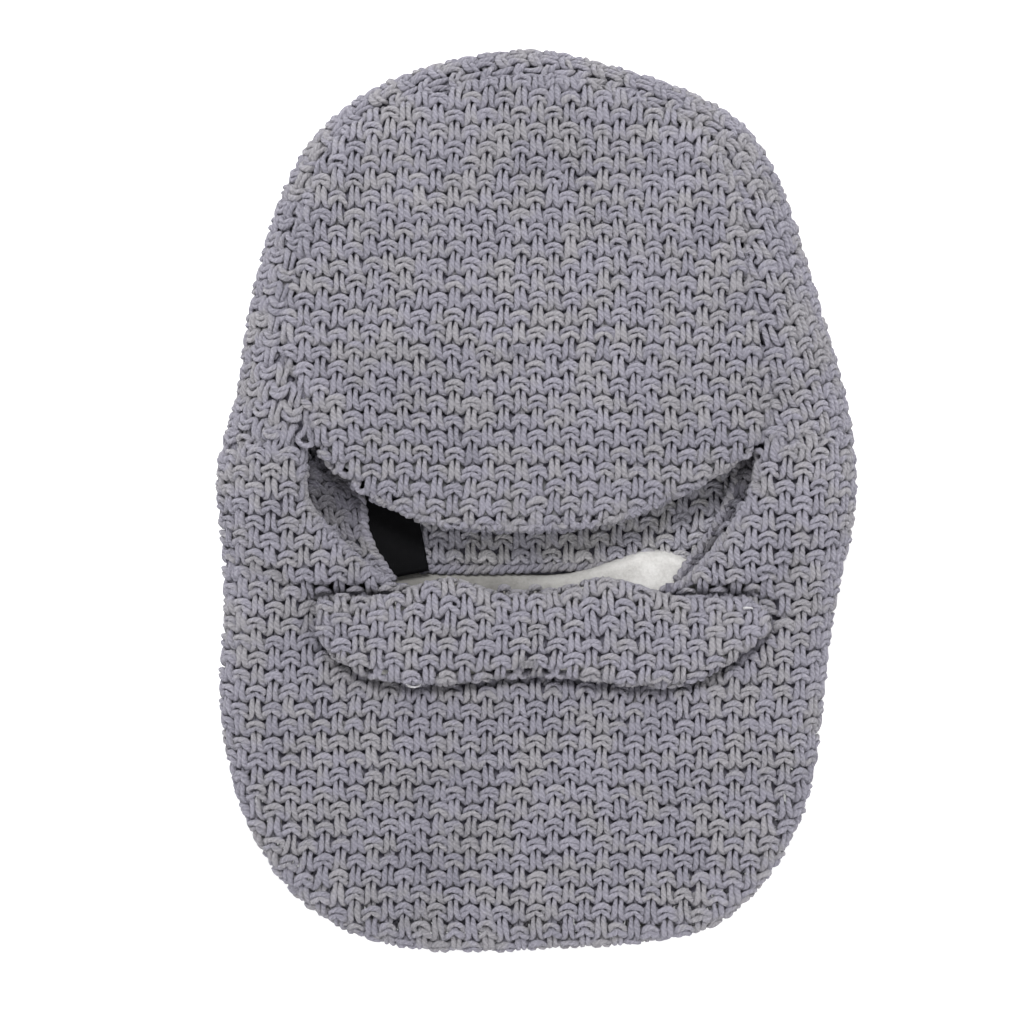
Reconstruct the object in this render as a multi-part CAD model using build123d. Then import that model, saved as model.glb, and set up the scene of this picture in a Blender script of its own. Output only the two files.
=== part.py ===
from build123d import *
import os

# A peaked balaclava (knitted ski hood), laid flat on its back.
# Millimetres. +X is to the right of the face, +Y runs to the crown, +Z points out of the face.
# The underside of the back panel lies on z = 0, and the origin is under the middle of the hood.

# Driving sizes
HOOD_WIDTH = 255.6          # widest, across the cheeks
HOOD_LENGTH = 361.2         # crown to hem
KNIT = 5.0                  # thickness of one layer of the chunky knit
FLEECE = 2.5                # thickness of the plush neck lining
HALF_WIDTH = HOOD_WIDTH / 2
HALF_LENGTH = HOOD_LENGTH / 2

# Heights above the table
FOLD_HEIGHT = 9.0           # the side fold, where the front layer meets the back panel
CROWN_TOP = 36.0            # outside of the front layer at the forehead
BIB_TOP = 26.0              # outside of the bib at the chin
HEM_TOP = 22.0              # outside of the bib at the hem
TALL = 80.0                 # height of a cutting prism, well above everything
WIDE = 400.0                # side of a cutting slab, well beyond everything

# Peak
PEAK_FOLD_Y = 36.0          # the line that the peak bends along
PEAK_GAP = 0.5              # gap at that line, between the crown panel and the peak
PEAK_SIDE_GAP = 0.8         # gap beside the peak, at its two seams
STIFFENER = 1.4             # thickness of the moulded peak board
STIFFENER_MARGIN = 5.0      # the board stops this far inside the peak's edge
UNDER_KNIT = 3.6            # the under cover is stretched thinner than the rest

# Mouth flap
FLAP_HINGE_Y = -37.0        # the chin line that the flap turns about
FLAP_CLEARANCE = 0.5        # flap above bib
BACKING_MARGIN = 1.5        # the fleece backing stops this far inside the flap's edge
TACK_SIZE = (7.0, 1.4, 1.2)

# Neck opening and linings
NECK_SPLIT_Y = -112.0       # below this the front and back layers are separate, at the sides too
LINING_TOP_Y = -14.0        # upper edge of the fleece on the back, under the knit hem
LINING_INSET = 9.0          # the fleece stops this far inside the hood's edge
HEAD_LINING_INSET = 11.0    # the inner knit stops this far inside the hood's edge
HEAD_LINING_HEM_Y = -29.0   # hem of the inner knit, which laps over the fleece
HEAD_KNIT = 4.0             # thickness of the inner knit

# Cheek facings
FACING_HEIGHTS = (14.0, 28.5)
FACING_CLEARANCE = 1.5      # gap between the facings and the peak

# Label
LABEL_SIZE = (38.0, 52.0, 0.6)
LABEL_CENTRE = (-66.9, -7.4)
LABEL_TURN = 11.0

# Seam threads, which stand a little proud of the knit
THREAD_WIDTH = 1.2
THREAD_HEIGHT = 0.8

# Outlines, each a short list of the points that its shape needs
SILHOUETTE = [
    (-7, 180.6), (-40, 175), (-68.5, 163), (-89.5, 144.6), (-102.7, 120), (-110.5, 94), (-116, 68),
    (-120.5, 38), (-127.3, 14), (-126.4, -12), (-124.8, -40), (-126.4, -80), (-120.5, -116),
    (-103, -151), (-80, -171), (-50, -180), (-5, -180.6), (40, -178), (71, -171), (92, -152.5),
    (109.5, -116), (115.2, -80), (119.5, -45), (127.3, -8), (126.6, 27), (119, 60), (108.5, 95),
    (96, 131), (83, 150.7), (61, 164), (26, 175.5),
]
LEFT_SEAM = [
    (-91.5, 36), (-93.8, 43.5), (-99.1, 55.6), (-101, 68.6), (-95, 93), (-93.6, 112),
    (-90, 128), (-79, 146), (-66, 155.5),
]
CROWN_SEAM = [(-66, 155.5), (-40, 164), (-7, 169.5), (32, 165), (62.7, 149.5)]
RIGHT_SEAM = [
    (62.7, 149.5), (76, 134), (81, 119), (83.6, 98.5), (85.8, 78), (91, 52), (92.8, 36),
]
PEAK_RIGHT_SIDE = [(92.8, 36), (92.6, 31), (88, 22.5), (79.7, 15.2)]
PEAK_EDGE = [
    (79.7, 15.2), (55, 1.2), (27, -9), (-13, -12), (-48, -7), (-70, 4), (-83.5, 15.4),
]
PEAK_LEFT_SIDE = [(-83.5, 15.4), (-89.5, 25), (-91.7, 32), (-91.5, 36)]
OPENING_LEFT_SIDE = [(-92.3, PEAK_FOLD_Y + PEAK_GAP), (-92.6, 26)]
OPENING_RIGHT_SIDE = [(93.6, 29), (93.6, PEAK_FOLD_Y + PEAK_GAP)]
LEFT_CHEEK_EDGE = [(-92.5, 16), (-92.2, -0.6), (-86, -10), (-77, -19.5), (-67, -28), (-56, -36)]
LEFT_FACING_EDGE = [(-80, 13), (-71.5, 3), (-69.5, -13), (-64, -25), (-56, -35)]
RIGHT_CHEEK_EDGE = [(56, -36), (66, -27), (79, -10.5), (87, 4), (89.5, 17)]
RIGHT_FACING_EDGE = [(56, -34.5), (63, -25), (74, -10), (80, 4), (82, 17)]
LEFT_CREASE = [(-140, -20), (-124, -26), (-104, -31.5), (-90, -36)]
RIGHT_CREASE = [(90, -36), (103, -26), (121, -21), (140, -18)]
FLAP_OUTLINE = [
    (-88.8, -47), (-79.3, -63), (-62, -71.5), (-38, -73.5), (-3, -69.5), (26, -72.3), (54, -73.8),
    (81, -62), (92, -50),
]
FLAP_TOP_LEFT = (-82, FLAP_HINGE_Y - 0.3)
FLAP_TOP_RIGHT = (80, FLAP_HINGE_Y - 0.3)
CROWN_TACK = (-6.9, 58.9)
BAR_TACK = (-3.0, -66.0)

# Side view of the front layer's outside, as (y, z) from the bottom to the crown
HOOD_PROFILE = [
    (-200, 33), (-60, 33), (-25, 34.5), (10, CROWN_TOP), (60, CROWN_TOP), (105, 33), (150, 27.5),
    (200, 19),
]
BIB_PROFILE = [(-200, HEM_TOP), (-120, 23.5), (-60, BIB_TOP), (-10, BIB_TOP), (200, BIB_TOP)]

# How far the hood's edge is drawn in at each height, as (z, inset)
OUTSIDE_SECTIONS = [(0, 4), (4, 0), (14, 0), (24, 5), (32, 13), (38, 26)]
INSIDE_SECTIONS = [(KNIT, 9), (8, 6), (13, 6), (20, 10), (26, 17), (34, 32)]


def prism(face, low=0.0, high=TALL):
    """An upright prism on a flat outline."""
    return Pos(0, 0, low) * extrude(face, high - low)


def inset_points(points, inset):
    """The silhouette's points drawn in towards the middle."""
    scale_x = 1 - inset / HALF_WIDTH
    scale_y = 1 - inset / HALF_LENGTH
    return [(x * scale_x, y * scale_y) for x, y in points]


def silhouette_face(inset=0.0):
    """The hood's outline, drawn in by inset."""
    return make_face(Spline(*inset_points(SILHOUETTE, inset), periodic=True))


def below_profile(profile, drop):
    """Everything under the side view's curve, lowered by drop."""
    curve = Plane.YZ * Spline(*[(y, z - drop) for y, z in profile])
    floor_low, floor_high = profile[0][0], profile[-1][0]
    rest = Plane.YZ * Polyline(
        (floor_high, profile[-1][1] - drop),
        (floor_high, -TALL),
        (floor_low, -TALL),
        (floor_low, profile[0][1] - drop),
    )
    return extrude(make_face(curve + rest), WIDE / 2, both=True)


def pillow(sections):
    """A soft closed shape through the silhouette drawn in by a different amount at each height."""
    return loft([Pos(0, 0, z) * silhouette_face(inset) for z, inset in sections], ruled=True)


def knit_shell(profile):
    """One layer of knit all round: outside pillow less inside pillow."""
    outside = pillow(OUTSIDE_SECTIONS) & below_profile(profile, 0)
    inside = pillow(INSIDE_SECTIONS) & below_profile(profile, KNIT)
    return outside - inside


def slab(low, high):
    """A wide level slab that cuts out a range of heights."""
    return Pos(0, 0, (low + high) / 2) * Box(WIDE, WIDE * 2, high - low)


def half_space_y(low, high):
    """A wide upright slab that cuts out a range of y."""
    return Pos(0, (low + high) / 2, TALL / 2) * Box(WIDE, high - low, TALL * 2)


def outline(*curves):
    """A flat face bounded by curves that meet end to end; a straight line closes it."""
    edges = [Spline(*points) if len(points) > 2 else Line(*points) for points in curves]
    start, end = curves[0][0], curves[-1][-1]
    if start != end:
        edges.append(Line(end, start))
    return make_face(edges)


def shrunk(face, margin):
    """The face drawn in by margin on every side, about the middle of its box."""
    box = face.bounding_box()
    scale_x = 1 - 2 * margin / box.size.X
    scale_y = 1 - 2 * margin / box.size.Y
    back_to_middle = Pos(box.center().X * (1 - scale_x), box.center().Y * (1 - scale_y), 0)
    return back_to_middle * scale(face, (scale_x, scale_y, 1))


def crown_region():
    """Between the two crown seams, above the peak's fold line."""
    gap_y = PEAK_FOLD_Y + PEAK_GAP
    left = [(LEFT_SEAM[0][0], gap_y)] + LEFT_SEAM[1:]
    right = RIGHT_SEAM[:-1] + [(RIGHT_SEAM[-1][0], gap_y)]
    return outline(left, CROWN_SEAM, right)


def peak_region():
    """The peak: fold line, two short seams and the curved front edge."""
    return outline(PEAK_RIGHT_SIDE, PEAK_EDGE, PEAK_LEFT_SIDE)


def face_opening_region():
    """The gap in the front layer, from the fold line down to the chin, under the peak too."""
    left = [(x - PEAK_SIDE_GAP, y) for x, y in OPENING_LEFT_SIDE] + LEFT_CHEEK_EDGE
    right = RIGHT_CHEEK_EDGE + [(x + PEAK_SIDE_GAP, y) for x, y in OPENING_RIGHT_SIDE]
    return outline(left, [left[-1], right[0]], right)


def above_crease_region():
    """Everything of the front layer that lies above the bib."""
    low_left, low_right = LEFT_CREASE[-1], RIGHT_CREASE[0]
    far = WIDE / 2
    edges = [
        Spline(*LEFT_CREASE),
        Line(low_left, low_right),
        Spline(*RIGHT_CREASE),
        Polyline(RIGHT_CREASE[-1], (far, far), (-far, far), LEFT_CREASE[0]),
    ]
    return make_face(edges)


def largest(shape):
    """The largest solid of a cut, without its crumbs."""
    return shape.solids().sort_by(SortBy.VOLUME)[-1]


def make_front_panels():
    """Crown, left side and right side panels, cut from one knit shell."""
    front = knit_shell(HOOD_PROFILE) & slab(FOLD_HEIGHT, TALL) & prism(above_crease_region())
    front = front - prism(face_opening_region())
    crown = front & prism(crown_region())
    sides = front - prism(crown_region())
    left_half = Pos(CROWN_SEAM[2][0] - WIDE / 2, 0, 0) * Box(WIDE, WIDE * 2, TALL * 2)
    return {
        "crown_front_panel": largest(crown),
        "left_side_panel": largest(sides & left_half),
        "right_side_panel": largest(sides - left_half),
    }


def make_bib():
    """Front bib, with its side walls open below the neck split."""
    bib = knit_shell(BIB_PROFILE) & slab(FOLD_HEIGHT, TALL)
    bib = bib - prism(above_crease_region())
    neck_gap = slab(0, HEM_TOP - KNIT - 1.0) & half_space_y(-WIDE, NECK_SPLIT_Y)
    return {"front_bib": largest(bib - neck_gap)}


def make_back_panel():
    """Back of head, nape and back bib in one piece, turned up to the side fold."""
    back = knit_shell(HOOD_PROFILE) & slab(-1, FOLD_HEIGHT)
    open_hem = slab(KNIT, TALL) & half_space_y(-WIDE, NECK_SPLIT_Y)
    return {"back_panel": largest(back - open_hem)}


def make_head_lining():
    """Inner knit of the head, whose hem steps up over the top of the neck fleece."""
    face = silhouette_face(HEAD_LINING_INSET)
    flat = prism(face, KNIT, KNIT + HEAD_KNIT) & half_space_y(LINING_TOP_Y + 0.5, WIDE)
    hem_low = KNIT + FLEECE
    hem = prism(face, hem_low, hem_low + HEAD_KNIT)
    hem = hem & half_space_y(HEAD_LINING_HEM_Y, LINING_TOP_Y + 4.5)
    return {"head_lining": largest(flat + hem)}


def make_neck_linings():
    """Plush fleece, one piece on the nape and one inside the bib."""
    nape = prism(silhouette_face(LINING_INSET), KNIT, KNIT + FLEECE)
    nape = nape & half_space_y(-WIDE, LINING_TOP_Y)
    under_bib = below_profile(BIB_PROFILE, KNIT) - below_profile(BIB_PROFILE, KNIT + FLEECE)
    front = pillow(INSIDE_SECTIONS) & under_bib
    front = front & half_space_y(-WIDE, FLAP_HINGE_Y - 3)
    return {"neck_lining_back": largest(nape), "neck_lining_front": largest(front)}


def make_cheek_facings():
    """The turned-in edge of each cheek, hanging inside the face opening."""
    low, high = FACING_HEIGHTS
    clear_of_peak = prism(shrunk(peak_region(), -FACING_CLEARANCE))
    left = outline(LEFT_CHEEK_EDGE, [LEFT_CHEEK_EDGE[-1], LEFT_FACING_EDGE[-1]],
                   LEFT_FACING_EDGE[::-1])
    right = outline(RIGHT_CHEEK_EDGE, [RIGHT_CHEEK_EDGE[-1], RIGHT_FACING_EDGE[-1]],
                    RIGHT_FACING_EDGE[::-1])
    above_chin = half_space_y(FLAP_HINGE_Y + FACING_CLEARANCE, WIDE)
    return {
        "left_cheek_facing": largest((prism(left, low, high) - clear_of_peak) & above_chin),
        "right_cheek_facing": largest((prism(right, low, high) - clear_of_peak) & above_chin),
    }


def make_peak():
    """Knit covers above and below a moulded board."""
    board_top = CROWN_TOP - KNIT
    board_low = board_top - STIFFENER
    return {
        "peak_top_cover": largest(prism(peak_region(), board_top, CROWN_TOP)),
        "peak_stiffener": largest(prism(shrunk(peak_region(), STIFFENER_MARGIN), board_low, board_top)),
        "peak_under_cover": largest(prism(peak_region(), board_low - UNDER_KNIT, board_low)),
    }


def flap_region():
    """The mouth flap: straight chin line above, rounded ends and a waved lower edge."""
    return outline([FLAP_TOP_LEFT, *FLAP_OUTLINE, FLAP_TOP_RIGHT])


def make_flap():
    """Knit outside, fleece backing and the bar tack in the middle of its free edge."""
    backing_low = BIB_TOP + FLAP_CLEARANCE
    knit_low = backing_low + FLEECE
    knit_top = knit_low + KNIT
    tack_x, tack_y = BAR_TACK
    tack_long, tack_wide, tack_high = TACK_SIZE
    tack = Pos(tack_x, tack_y, knit_top + tack_high / 2) * Box(tack_long, tack_wide, tack_high)
    return {
        "mouth_flap_knit": largest(prism(flap_region(), knit_low, knit_top)),
        "mouth_flap_backing": largest(prism(shrunk(flap_region(), BACKING_MARGIN), backing_low, knit_low)),
        "mouth_flap_bar_tack": tack,
    }


def make_label():
    """A plain black woven label, stitched over the hem of the inner knit."""
    long_x, long_y, thick = LABEL_SIZE
    low = KNIT + FLEECE + HEAD_KNIT
    place = Pos(*LABEL_CENTRE, low + thick / 2) * Rot(0, 0, LABEL_TURN)
    return {"label": place * Box(long_x, long_y, thick)}


def make_crown_tack():
    """A short bar of yarn that holds the front pleat of the crown."""
    x, y = CROWN_TACK
    long_x, long_y, thick = TACK_SIZE
    return {"crown_tack_stitch": Pos(x, y, CROWN_TOP + thick) * Box(long_x, long_y, thick)}


def make_seam_threads():
    """The linking thread of the three seams round the crown panel, lying on the knit."""
    outside = pillow(OUTSIDE_SECTIONS) & below_profile(HOOD_PROFILE, 0)
    skin = Pos(0, 0, THREAD_HEIGHT) * outside - outside
    half = THREAD_WIDTH / 2
    sideways, upways = (half, 0), (0, half)
    seams = {
        "left_seam_thread": (LEFT_SEAM, sideways),
        "top_seam_thread": (CROWN_SEAM[1:-1], upways),
        "right_seam_thread": (RIGHT_SEAM, sideways),
    }
    threads = {}
    for name, (seam, (dx, dy)) in seams.items():
        one_side = [(x - dx, y - dy) for x, y in seam]
        other_side = [(x + dx, y + dy) for x, y in reversed(seam)]
        band = outline(one_side, [one_side[-1], other_side[0]], other_side)
        threads[name] = largest(skin & prism(band))
    return threads


MAKERS = (
    make_front_panels,
    make_bib,
    make_back_panel,
    make_head_lining,
    make_neck_linings,
    make_cheek_facings,
    make_peak,
    make_flap,
    make_label,
    make_crown_tack,
    make_seam_threads,
)


def build_parts():
    """Every piece, by node name."""
    parts = {}
    for make in MAKERS:
        parts.update(make())
    return parts


def centred(parts):
    """Move everything so that the origin is under the middle of the bounding box."""
    box = Compound(children=[Part() + p for p in parts.values()]).bounding_box()
    shift = Pos(-box.center().X, -box.center().Y, -box.min.Z)
    return {name: shift * part for name, part in parts.items()}


def main():
    os.makedirs("parts", exist_ok=True)
    for name, part in centred(build_parts()).items():
        export_step(part, f"parts/{name}.step")


main()
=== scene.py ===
import math

import bpy
import numpy as np
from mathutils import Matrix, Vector
from mathutils.bvhtree import BVHTree


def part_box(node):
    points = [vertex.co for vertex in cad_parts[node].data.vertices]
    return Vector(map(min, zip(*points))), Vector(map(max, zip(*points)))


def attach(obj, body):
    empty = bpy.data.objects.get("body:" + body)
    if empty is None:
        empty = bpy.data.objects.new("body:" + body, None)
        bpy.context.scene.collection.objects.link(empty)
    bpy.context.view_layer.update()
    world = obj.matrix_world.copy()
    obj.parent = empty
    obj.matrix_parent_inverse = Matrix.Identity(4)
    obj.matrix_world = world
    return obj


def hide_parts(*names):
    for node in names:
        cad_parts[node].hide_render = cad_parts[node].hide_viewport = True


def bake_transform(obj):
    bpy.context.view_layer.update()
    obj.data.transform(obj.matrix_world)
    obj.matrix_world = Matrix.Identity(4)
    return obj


# The looks of a peaked balaclava, laid flat on its back: a seed-stitch knit in which every stitch
# is a loop of yarn, a plush neck lining, a woven label and the joining stitches.
# Shapes are worked out in millimetres in the frame's own axes, and turned to metres as meshes are made.

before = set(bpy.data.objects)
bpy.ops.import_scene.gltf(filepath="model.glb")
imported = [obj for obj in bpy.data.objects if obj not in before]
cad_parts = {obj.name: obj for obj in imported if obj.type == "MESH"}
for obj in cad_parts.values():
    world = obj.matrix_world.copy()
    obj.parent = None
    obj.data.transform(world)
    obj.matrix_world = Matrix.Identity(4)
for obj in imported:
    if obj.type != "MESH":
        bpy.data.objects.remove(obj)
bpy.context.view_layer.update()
random = np.random.default_rng(11)
MM = 0.001

# The knit: one wale across, one course up, and the yarn's radius
WALE = 6.6
COURSE = 6.8
YARN = 1.13
PLY_DEPTH = 0.22            # how deep the groove between the two plies is, as a share of the radius
PLY_PITCH = 8.5             # one full turn of the two plies
LOOP_SAMPLES = 30
LOOP_SIDES = 8
BACK_SAMPLES = 20
BACK_SIDES = 5
KNIT_DEPTH = 2.1            # from the middle of the knit to its face
GROUND_DEPTH = 2.4          # from the middle of the knit to the ground sheet behind it, coloured dark as painted shade
GROUND_THICK = 0.7

# Half of a knit loop and half of a purl loop, from the link with the next stitch to the head,
# as (across, up, towards the viewer)
KNIT_HALF = [
    (3.3, 1.5, -1.2), (2.2, 0.9, -0.2), (1.45, 2.4, 0.7), (1.18, 4.2, 1.0), (1.14, 6.5, 0.9),
    (1.2, 8.6, 0.2), (1.9, 10.0, -0.3), (3.0, 10.8, 0.3), (2.7, 12.0, 0.9), (1.4, 12.8, 1.25),
    (0.0, 13.05, 1.3),
]
PURL_HALF = [
    (3.3, 1.5, -1.2), (3.25, 1.7, 0.0), (2.6, 2.6, 1.2), (1.5, 3.3, 1.4), (0.6, 3.75, 1.1),
    (0.7, 4.9, -0.4), (1.1, 7.5, -1.4), (1.1, 9.5, -1.5), (2.2, 11.0, -1.3), (0.0, 11.8, -1.3),
]


# ---------------------------------------------------------------- measuring the frame

def box_mm(node):
    """Lowest and highest corner of a CAD node, in millimetres."""
    low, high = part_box(node)
    return np.array(low) / MM, np.array(high) / MM


def tree_of(node):
    """A CAD node's mesh, ready for rays."""
    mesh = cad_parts[node].data
    points = [v.co for v in mesh.vertices]
    faces = [tuple(p.vertices) for p in mesh.polygons]
    return BVHTree.FromPolygons(points, faces)


TREES = {name: tree_of(name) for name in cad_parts}
DOWN = Vector((0, 0, -1))


def added(name, mesh):
    """An object for a mesh, in the scene."""
    thing = bpy.data.objects.new(name, mesh)
    bpy.context.scene.collection.objects.link(thing)
    return thing


def covered(nodes, x, y):
    """True where one of the CAD nodes lies over or under the point."""
    start = Vector((x * MM, y * MM, 1.0))
    return any(TREES[n].ray_cast(start, DOWN)[0] is not None for n in nodes)


def contour(nodes, centre, count=240, far=230.0, step=1.5):
    """The outline of the nodes seen from above, as points round a centre, anticlockwise."""
    points = []
    for angle in np.arange(count) * 2 * math.pi / count:
        dx, dy = math.cos(angle), math.sin(angle)
        r = far
        while r > step and not covered(nodes, centre[0] + dx * r, centre[1] + dy * r):
            r -= step
        low, high = r, r + step
        for _ in range(7):
            middle = (low + high) / 2
            if covered(nodes, centre[0] + dx * middle, centre[1] + dy * middle):
                low = middle
            else:
                high = middle
        points.append((centre[0] + dx * low, centre[1] + dy * low))
    return np.array(points)


class Outline:
    """A closed outline with smooth outward normals, and the nearest point on it."""

    def __init__(self, points):
        self.points = points
        ahead = np.roll(points, -1, axis=0)
        behind = np.roll(points, 1, axis=0)
        along = ahead - behind
        along = (np.roll(along, 1, axis=0) + 2 * along + np.roll(along, -1, axis=0)) / 4
        normals = np.stack([along[:, 1], -along[:, 0]], axis=1)
        self.normals = normals / np.linalg.norm(normals, axis=1, keepdims=True)
        self.length = np.concatenate([[0], np.cumsum(np.linalg.norm(ahead - points, axis=1))])

    def nearest(self, u, v):
        """Distance outwards, nearest point and outward normal, for arrays of points."""
        shape = u.shape
        q = np.stack([u.ravel(), v.ravel()], axis=1)
        a, b = self.points, np.roll(self.points, -1, axis=0)
        side = b - a
        size = (side ** 2).sum(axis=1)
        found = [np.empty(len(q)), np.empty((len(q), 2)), np.empty((len(q), 2))]
        for start in range(0, len(q), 20000):
            part = q[start:start + 20000]
            t = ((part[:, None, :] - a[None]) * side[None]).sum(axis=2) / size
            t = np.clip(t, 0, 1)
            gap = a[None] + side[None] * t[:, :, None] - part[:, None, :]
            best = (gap ** 2).sum(axis=2).argmin(axis=1)
            share = t[np.arange(len(part)), best][:, None]
            point = a[best] + side[best] * share
            normal = self.normals[best] * (1 - share)
            normal += np.roll(self.normals, -1, axis=0)[best] * share
            normal /= np.linalg.norm(normal, axis=1, keepdims=True)
            away = part - point
            sign = np.where((away * normal).sum(axis=1) >= 0, 1.0, -1.0)
            rows = slice(start, start + len(part))
            found[0][rows] = np.linalg.norm(away, axis=1) * sign
            found[1][rows] = point
            found[2][rows] = normal
        return found[0].reshape(shape), found[1].reshape(*shape, 2), found[2].reshape(*shape, 2)

    def at(self, s):
        """Point and outward normal at a distance along the outline."""
        s = np.mod(s, self.length[-1])
        closed = np.vstack([self.points, self.points[:1]])
        normals = np.vstack([self.normals, self.normals[:1]])
        point = [np.interp(s, self.length, closed[:, k]) for k in (0, 1)]
        normal = np.stack([np.interp(s, self.length, normals[:, k]) for k in (0, 1)], axis=-1)
        normal /= np.linalg.norm(normal, axis=-1, keepdims=True)
        return np.stack(point, axis=-1), normal

    def along(self, x, y):
        """Distance along the outline of the point nearest to (x, y)."""
        _, point, _ = self.nearest(np.array([float(x)]), np.array([float(y)]))
        gaps = np.linalg.norm(self.points - point[0], axis=1)
        return self.length[int(gaps.argmin())]


HOOD = Outline(contour(["back_panel"], (0, 0)))
CROWN = Outline(contour(["crown_front_panel", "peak_top_cover"], (0, 75), far=150))
FLAP = Outline(contour(["mouth_flap_knit"], (0, -54), far=120))
FOLD_Z = box_mm("back_panel")[1][2]
CROWN_TOP = box_mm("peak_top_cover")[1][2]
BIB_TOP = box_mm("mouth_flap_backing")[0][2] - 0.5
FLAP_TOP = box_mm("mouth_flap_knit")[1][2]
PEAK_LOW = box_mm("peak_under_cover")[0][2]
PEAK_FOLD_Y = round(float(box_mm("peak_top_cover")[1][1]), 1)
FLAP_FOLD_Y = box_mm("mouth_flap_knit")[1][1]


# ---------------------------------------------------------------- shapes of the layers

def smooth(value, low, high):
    """0 below low, 1 above high, and a smooth step between."""
    t = np.clip((value - low) / (high - low), 0, 1)
    return t * t * (3 - 2 * t)


def mound(u, v, x, y, wide, high, rise):
    return rise * np.exp(-((u - x) / wide) ** 2 - ((v - y) / high) ** 2)


def front_height(u, v):
    """Height of the front layer's face above the table."""
    ys = [-190, -120, -60, -42, -8, 12, 60, 105, 150, 190]
    tops = [
        BIB_TOP - 4, BIB_TOP - 2.5, BIB_TOP, BIB_TOP, CROWN_TOP - 2.5, CROWN_TOP - 0.3, CROWN_TOP,
        CROWN_TOP - 3, CROWN_TOP - 8.5, CROWN_TOP - 16,
    ]
    fine_y = np.linspace(ys[0], ys[-1], 400)
    fine = np.interp(fine_y, ys, tops)
    fine = np.convolve(np.pad(fine, 12, mode="edge"), np.ones(25) / 25, mode="valid")
    top = np.interp(v, fine_y, fine)
    top = top + 0.5 * np.sin(u / 23.0 + 1.0) * np.sin(v / 31.0)
    top = top + mound(u, v, -25, 95, 26, 20, 0.9) - mound(u, v, 28, 66, 22, 12, 1.2)
    top = top - mound(u, v, -80, -128, 30, 22, 0.8) + mound(u, v, 40, -120, 40, 26, 0.8)
    return top


def rolled(outline, u, v, reach, top, bottom):
    """A layer whose edge curves down from top to bottom over the last of its reach."""
    d, point, normal = outline.nearest(u, v)
    drop = top - bottom
    arc = math.pi / 2 * np.sqrt((reach ** 2 + drop ** 2) / 2)
    turn = np.clip((d + reach) / arc, 0, 1) * math.pi / 2
    inside = d < -reach
    x = np.where(inside, u, point[..., 0] + normal[..., 0] * reach * (np.sin(turn) - 1))
    y = np.where(inside, v, point[..., 1] + normal[..., 1] * reach * (np.sin(turn) - 1))
    z = np.where(inside, top, bottom + drop * np.cos(turn))
    return np.stack([x, y, z], axis=-1)


def crown_surface(u, v):
    """Crown and the peak's top as one layer: a shallow dip at the seams, a full roll at the peak."""
    peak = 1 - smooth(v, 24, 42)
    reach = 2.5 + 2.5 * peak
    flat_top = front_height(u, v) - KNIT_DEPTH
    d, _, _ = HOOD.nearest(u, v)
    across = np.clip(1 + d / edge_reach(v), 0, 1)
    top = FOLD_Z + (flat_top - FOLD_Z) * np.sqrt(1 - 0.96 * across ** 2)
    return rolled(CROWN, u, v, reach, top, top - 2.6 - 2.2 * peak)


def peak_under_surface(u, v):
    """The peak's underside, which curves up to the edge."""
    low = PEAK_LOW + KNIT_DEPTH - 0.4
    return rolled(CROWN, u, v, 5.0, low + 0 * u, low + 3.4 + 0 * u)


def edge_reach(v):
    """How far in the front layer starts to curve down to the side fold."""
    return 11.0 + 13.0 * smooth(v, -50, 10)


def edge_bottom(v):
    """Height at which the front layer's edge ends: the side fold, or the open hem."""
    return FOLD_Z + 6.5 * (1 - smooth(v, -122, -104))


def opening_roll(x, y, z):
    """Carries a front surface over the edge of the face opening and down inside it."""
    d, point, normal = OPENING.nearest(x, y)
    radius = 6.5
    over = radius - d
    turn = np.clip(over / radius, 0, math.pi / 2)
    beyond = np.maximum(over - radius * math.pi / 2, 0)
    inwards = np.where(x < 0, 0.92, 0.40)
    sink = np.where(x < 0, 0.25, 0.9) * beyond + np.where(x < 0, 4.0, 0) * smooth(beyond, 0, 5)
    away = radius * (1 - np.sin(turn)) - inwards * beyond
    rolled_x = point[..., 0] + normal[..., 0] * away
    rolled_y = point[..., 1] + normal[..., 1] * away
    rolled_z = z - radius * (1 - np.cos(turn)) - sink
    flat = over <= 0
    return np.stack([np.where(flat, x, rolled_x), np.where(flat, y, rolled_y),
                     np.where(flat, z, rolled_z)], axis=-1)


def crease_depth(x, y):
    """The soft crease where a cheek meets the bib, the groove above the flap, and the one round it."""
    crease = 2.2 * np.exp(-((y - crease_y(x)) / 5.0) ** 2) * smooth(np.abs(x), 74, 92)
    above = 4.5 * np.exp(-((y - FLAP_FOLD_Y + 1) / 3.2) ** 2) * (1 - smooth(np.abs(x), 84, 96))
    d, _, _ = FLAP.nearest(x, y)
    around = 4.4 * np.exp(-((d - 1.5) / 3.8) ** 2) * (1 - smooth(y, FLAP_FOLD_Y - 4, FLAP_FOLD_Y + 4))
    return crease + above + around


def front_surface(u, v):
    """Cheeks and bib as one layer: curved down at the hood's edge, and rolled in at the face opening."""
    top = front_height(u, v) - KNIT_DEPTH - crease_depth(u, v)
    outer = rolled(HOOD, u, v, edge_reach(v), top, edge_bottom(v))
    return opening_roll(outer[..., 0], outer[..., 1], outer[..., 2])


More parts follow.
